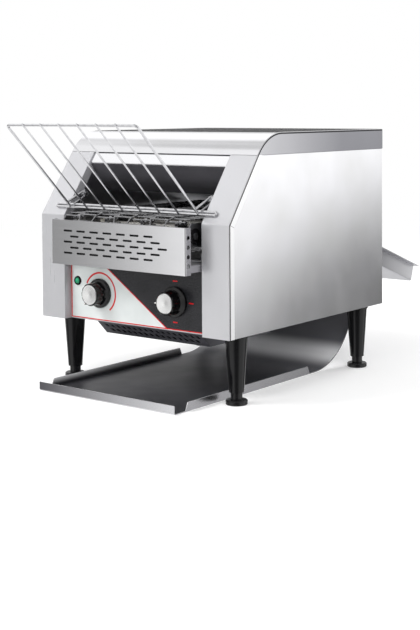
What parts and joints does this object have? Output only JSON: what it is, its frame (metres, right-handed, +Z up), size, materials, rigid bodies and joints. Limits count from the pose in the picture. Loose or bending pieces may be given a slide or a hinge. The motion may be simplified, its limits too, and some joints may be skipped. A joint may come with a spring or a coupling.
{
  "type": "conveyor toaster",
  "caption": "Countertop conveyor toaster with a wire loading rack, wire belt, toast slide under the body, rear chute, control knobs and levelling legs.",
  "frame": {"origin": "bottom centre of the bounding box, on the surface the feet stand on", "axes": "+Z up, -Y towards the user and the control panel, +X to the user's right"},
  "size_m": [0.368, 0.739, 0.4025],
  "materials": {
    "polished_stainless": "polished",
    "satin_stainless": "satin",
    "dark_sheet": "satin",
    "inner_sheet": "mill",
    "panel_film": "satin",
    "black_plastic": "moulded",
    "green_lens": "clear",
    "component_metal": "plated",
    "component_plastic": "moulded",
    "turned_steel": "turned",
    "black_gloss_plastic": "gloss",
    "spun_aluminium": "spun",
    "dark_grille": "satin",
    "bright_wire": "bright",
    "rail_steel": "mill",
    "bronze_bush": "sintered",
    "motor_case": "satin",
    "quartz": "clear",
    "ceramic_white": "fired",
    "slide_steel": "polished"
  },
  "bodies": {
    "body": {"front_cheek_left": "polished_stainless", "front_cheek_right": "polished_stainless", "side_panel_left": "polished_stainless", "side_panel_right": "polished_stainless", "top_cover": "polished_stainless", "header_strip": "polished_stainless", "deflector_plate": "dark_sheet", "inner_wall_left": "inner_sheet", "inner_wall_right": "inner_sheet", "base_plate": "inner_sheet", "rear_panel": "polished_stainless", "vent_cover": "satin_stainless", "control_panel": "satin_stainless", "panel_overlay": "panel_film", "lamp_bezel": "black_plastic", "lamp_lens": "green_lens", "speed_control": "component_metal", "selector_switch": "component_plastic", "intake_grille": "dark_grille", "conveyor_belt": "bright_wire", "conveyor_rail_right": "rail_steel", "conveyor_rail_left": "rail_steel", "shaft_bushes": "bronze_bush", "drive_chain": "rail_steel", "gear_motor": "motor_case", "upper_heating_tubes": "quartz", "lower_heating_tubes": "quartz", "tube_holders": "ceramic_white", "upper_reflector": "inner_sheet", "cavity_floor": "inner_sheet", "rear_guide": "inner_sheet", "fan_housing": "component_plastic", "cord_gland": "black_plastic", "chute_rails": "rail_steel", "rack_pins": "turned_steel", "case_screws": "turned_steel", "leg_front_left": "black_gloss_plastic", "leg_front_right": "black_gloss_plastic", "leg_rear_left": "black_gloss_plastic", "leg_rear_right": "black_gloss_plastic"},
    "drive_shaft_set": {"drive_shaft": "turned_steel", "drive_sprockets": "rail_steel", "chain_wheel": "rail_steel"},
    "idler_shaft_set": {"idler_shaft": "turned_steel", "idler_sprockets": "rail_steel"},
    "motor_output": {"motor_pinion": "turned_steel"},
    "fan": {"fan_rotor": "component_plastic"},
    "speed_dial": {"speed_knob": "black_gloss_plastic", "speed_knob_cap": "spun_aluminium", "speed_spindle": "turned_steel"},
    "selector_dial": {"selector_knob": "black_gloss_plastic", "selector_knob_cap": "spun_aluminium", "selector_spindle": "turned_steel"},
    "rack": {"loading_rack": "bright_wire"},
    "slide": {"toast_slide": "slide_steel"},
    "chute": {"rear_chute": "satin_stainless"},
    "levelling_foot_front_left": {"foot_front_left": "black_gloss_plastic"},
    "levelling_foot_front_right": {"foot_front_right": "black_gloss_plastic"},
    "levelling_foot_rear_left": {"foot_rear_left": "black_gloss_plastic"},
    "levelling_foot_rear_right": {"foot_rear_right": "black_gloss_plastic"}
  },
  "joints": [
    {"name": "drive_shaft_spin", "type": "hinge", "parent": "body", "child": "drive_shaft_set", "pos_m": [0, 0.06359, 0.242], "axis": [1, 0, 0], "continuous": true},
    {"name": "idler_shaft_spin", "type": "hinge", "parent": "body", "child": "idler_shaft_set", "pos_m": [0, -0.24271, 0.242], "axis": [1, 0, 0], "continuous": true},
    {"name": "motor_pinion_spin", "type": "hinge", "parent": "body", "child": "motor_output", "pos_m": [0.144, -0.04071, 0.15], "axis": [1, 0, 0], "continuous": true},
    {"name": "fan_spin", "type": "hinge", "parent": "body", "child": "fan", "pos_m": [-0.06, -0.05371, 0.1413], "axis": [0, 1, 0], "continuous": true},
    {"name": "speed_knob_turn", "type": "hinge", "parent": "body", "child": "speed_dial", "pos_m": [-0.073, -0.24071, 0.143], "axis": [0, 1, 0], "range_deg": [0, 270]},
    {"name": "selector_knob_turn", "type": "hinge", "parent": "body", "child": "selector_dial", "pos_m": [0.075, -0.24071, 0.143], "axis": [0, 1, 0], "range_deg": [0, 270]},
    {"name": "rack_lift", "type": "hinge", "parent": "body", "child": "rack", "pos_m": [0, -0.20471, 0.2915], "axis": [-1, 0, 0], "range_deg": [0, 60]},
    {"name": "toast_slide_pull", "type": "slide", "parent": "body", "child": "slide", "axis": [0, -1, 0], "range_m": [0, 0.18]},
    {"name": "rear_chute_pull", "type": "slide", "parent": "body", "child": "chute", "axis": [0, 0.943, -0.3327], "range_m": [0, 0.03]},
    {"name": "foot_front_left_screw", "type": "slide", "parent": "body", "child": "levelling_foot_front_left", "axis": [0, 0, -1], "range_m": [0, 0.018]},
    {"name": "foot_front_right_screw", "type": "slide", "parent": "body", "child": "levelling_foot_front_right", "axis": [0, 0, -1], "range_m": [0, 0.018]},
    {"name": "foot_rear_left_screw", "type": "slide", "parent": "body", "child": "levelling_foot_rear_left", "axis": [0, 0, -1], "range_m": [0, 0.018]},
    {"name": "foot_rear_right_screw", "type": "slide", "parent": "body", "child": "levelling_foot_rear_right", "axis": [0, 0, -1], "range_m": [0, 0.018]}
  ],
  "couplings": [
    {"joint": "idler_shaft_spin", "follows": "drive_shaft_spin", "ratio": 1},
    {"joint": "motor_pinion_spin", "follows": "drive_shaft_spin", "ratio": 2}
  ]
}
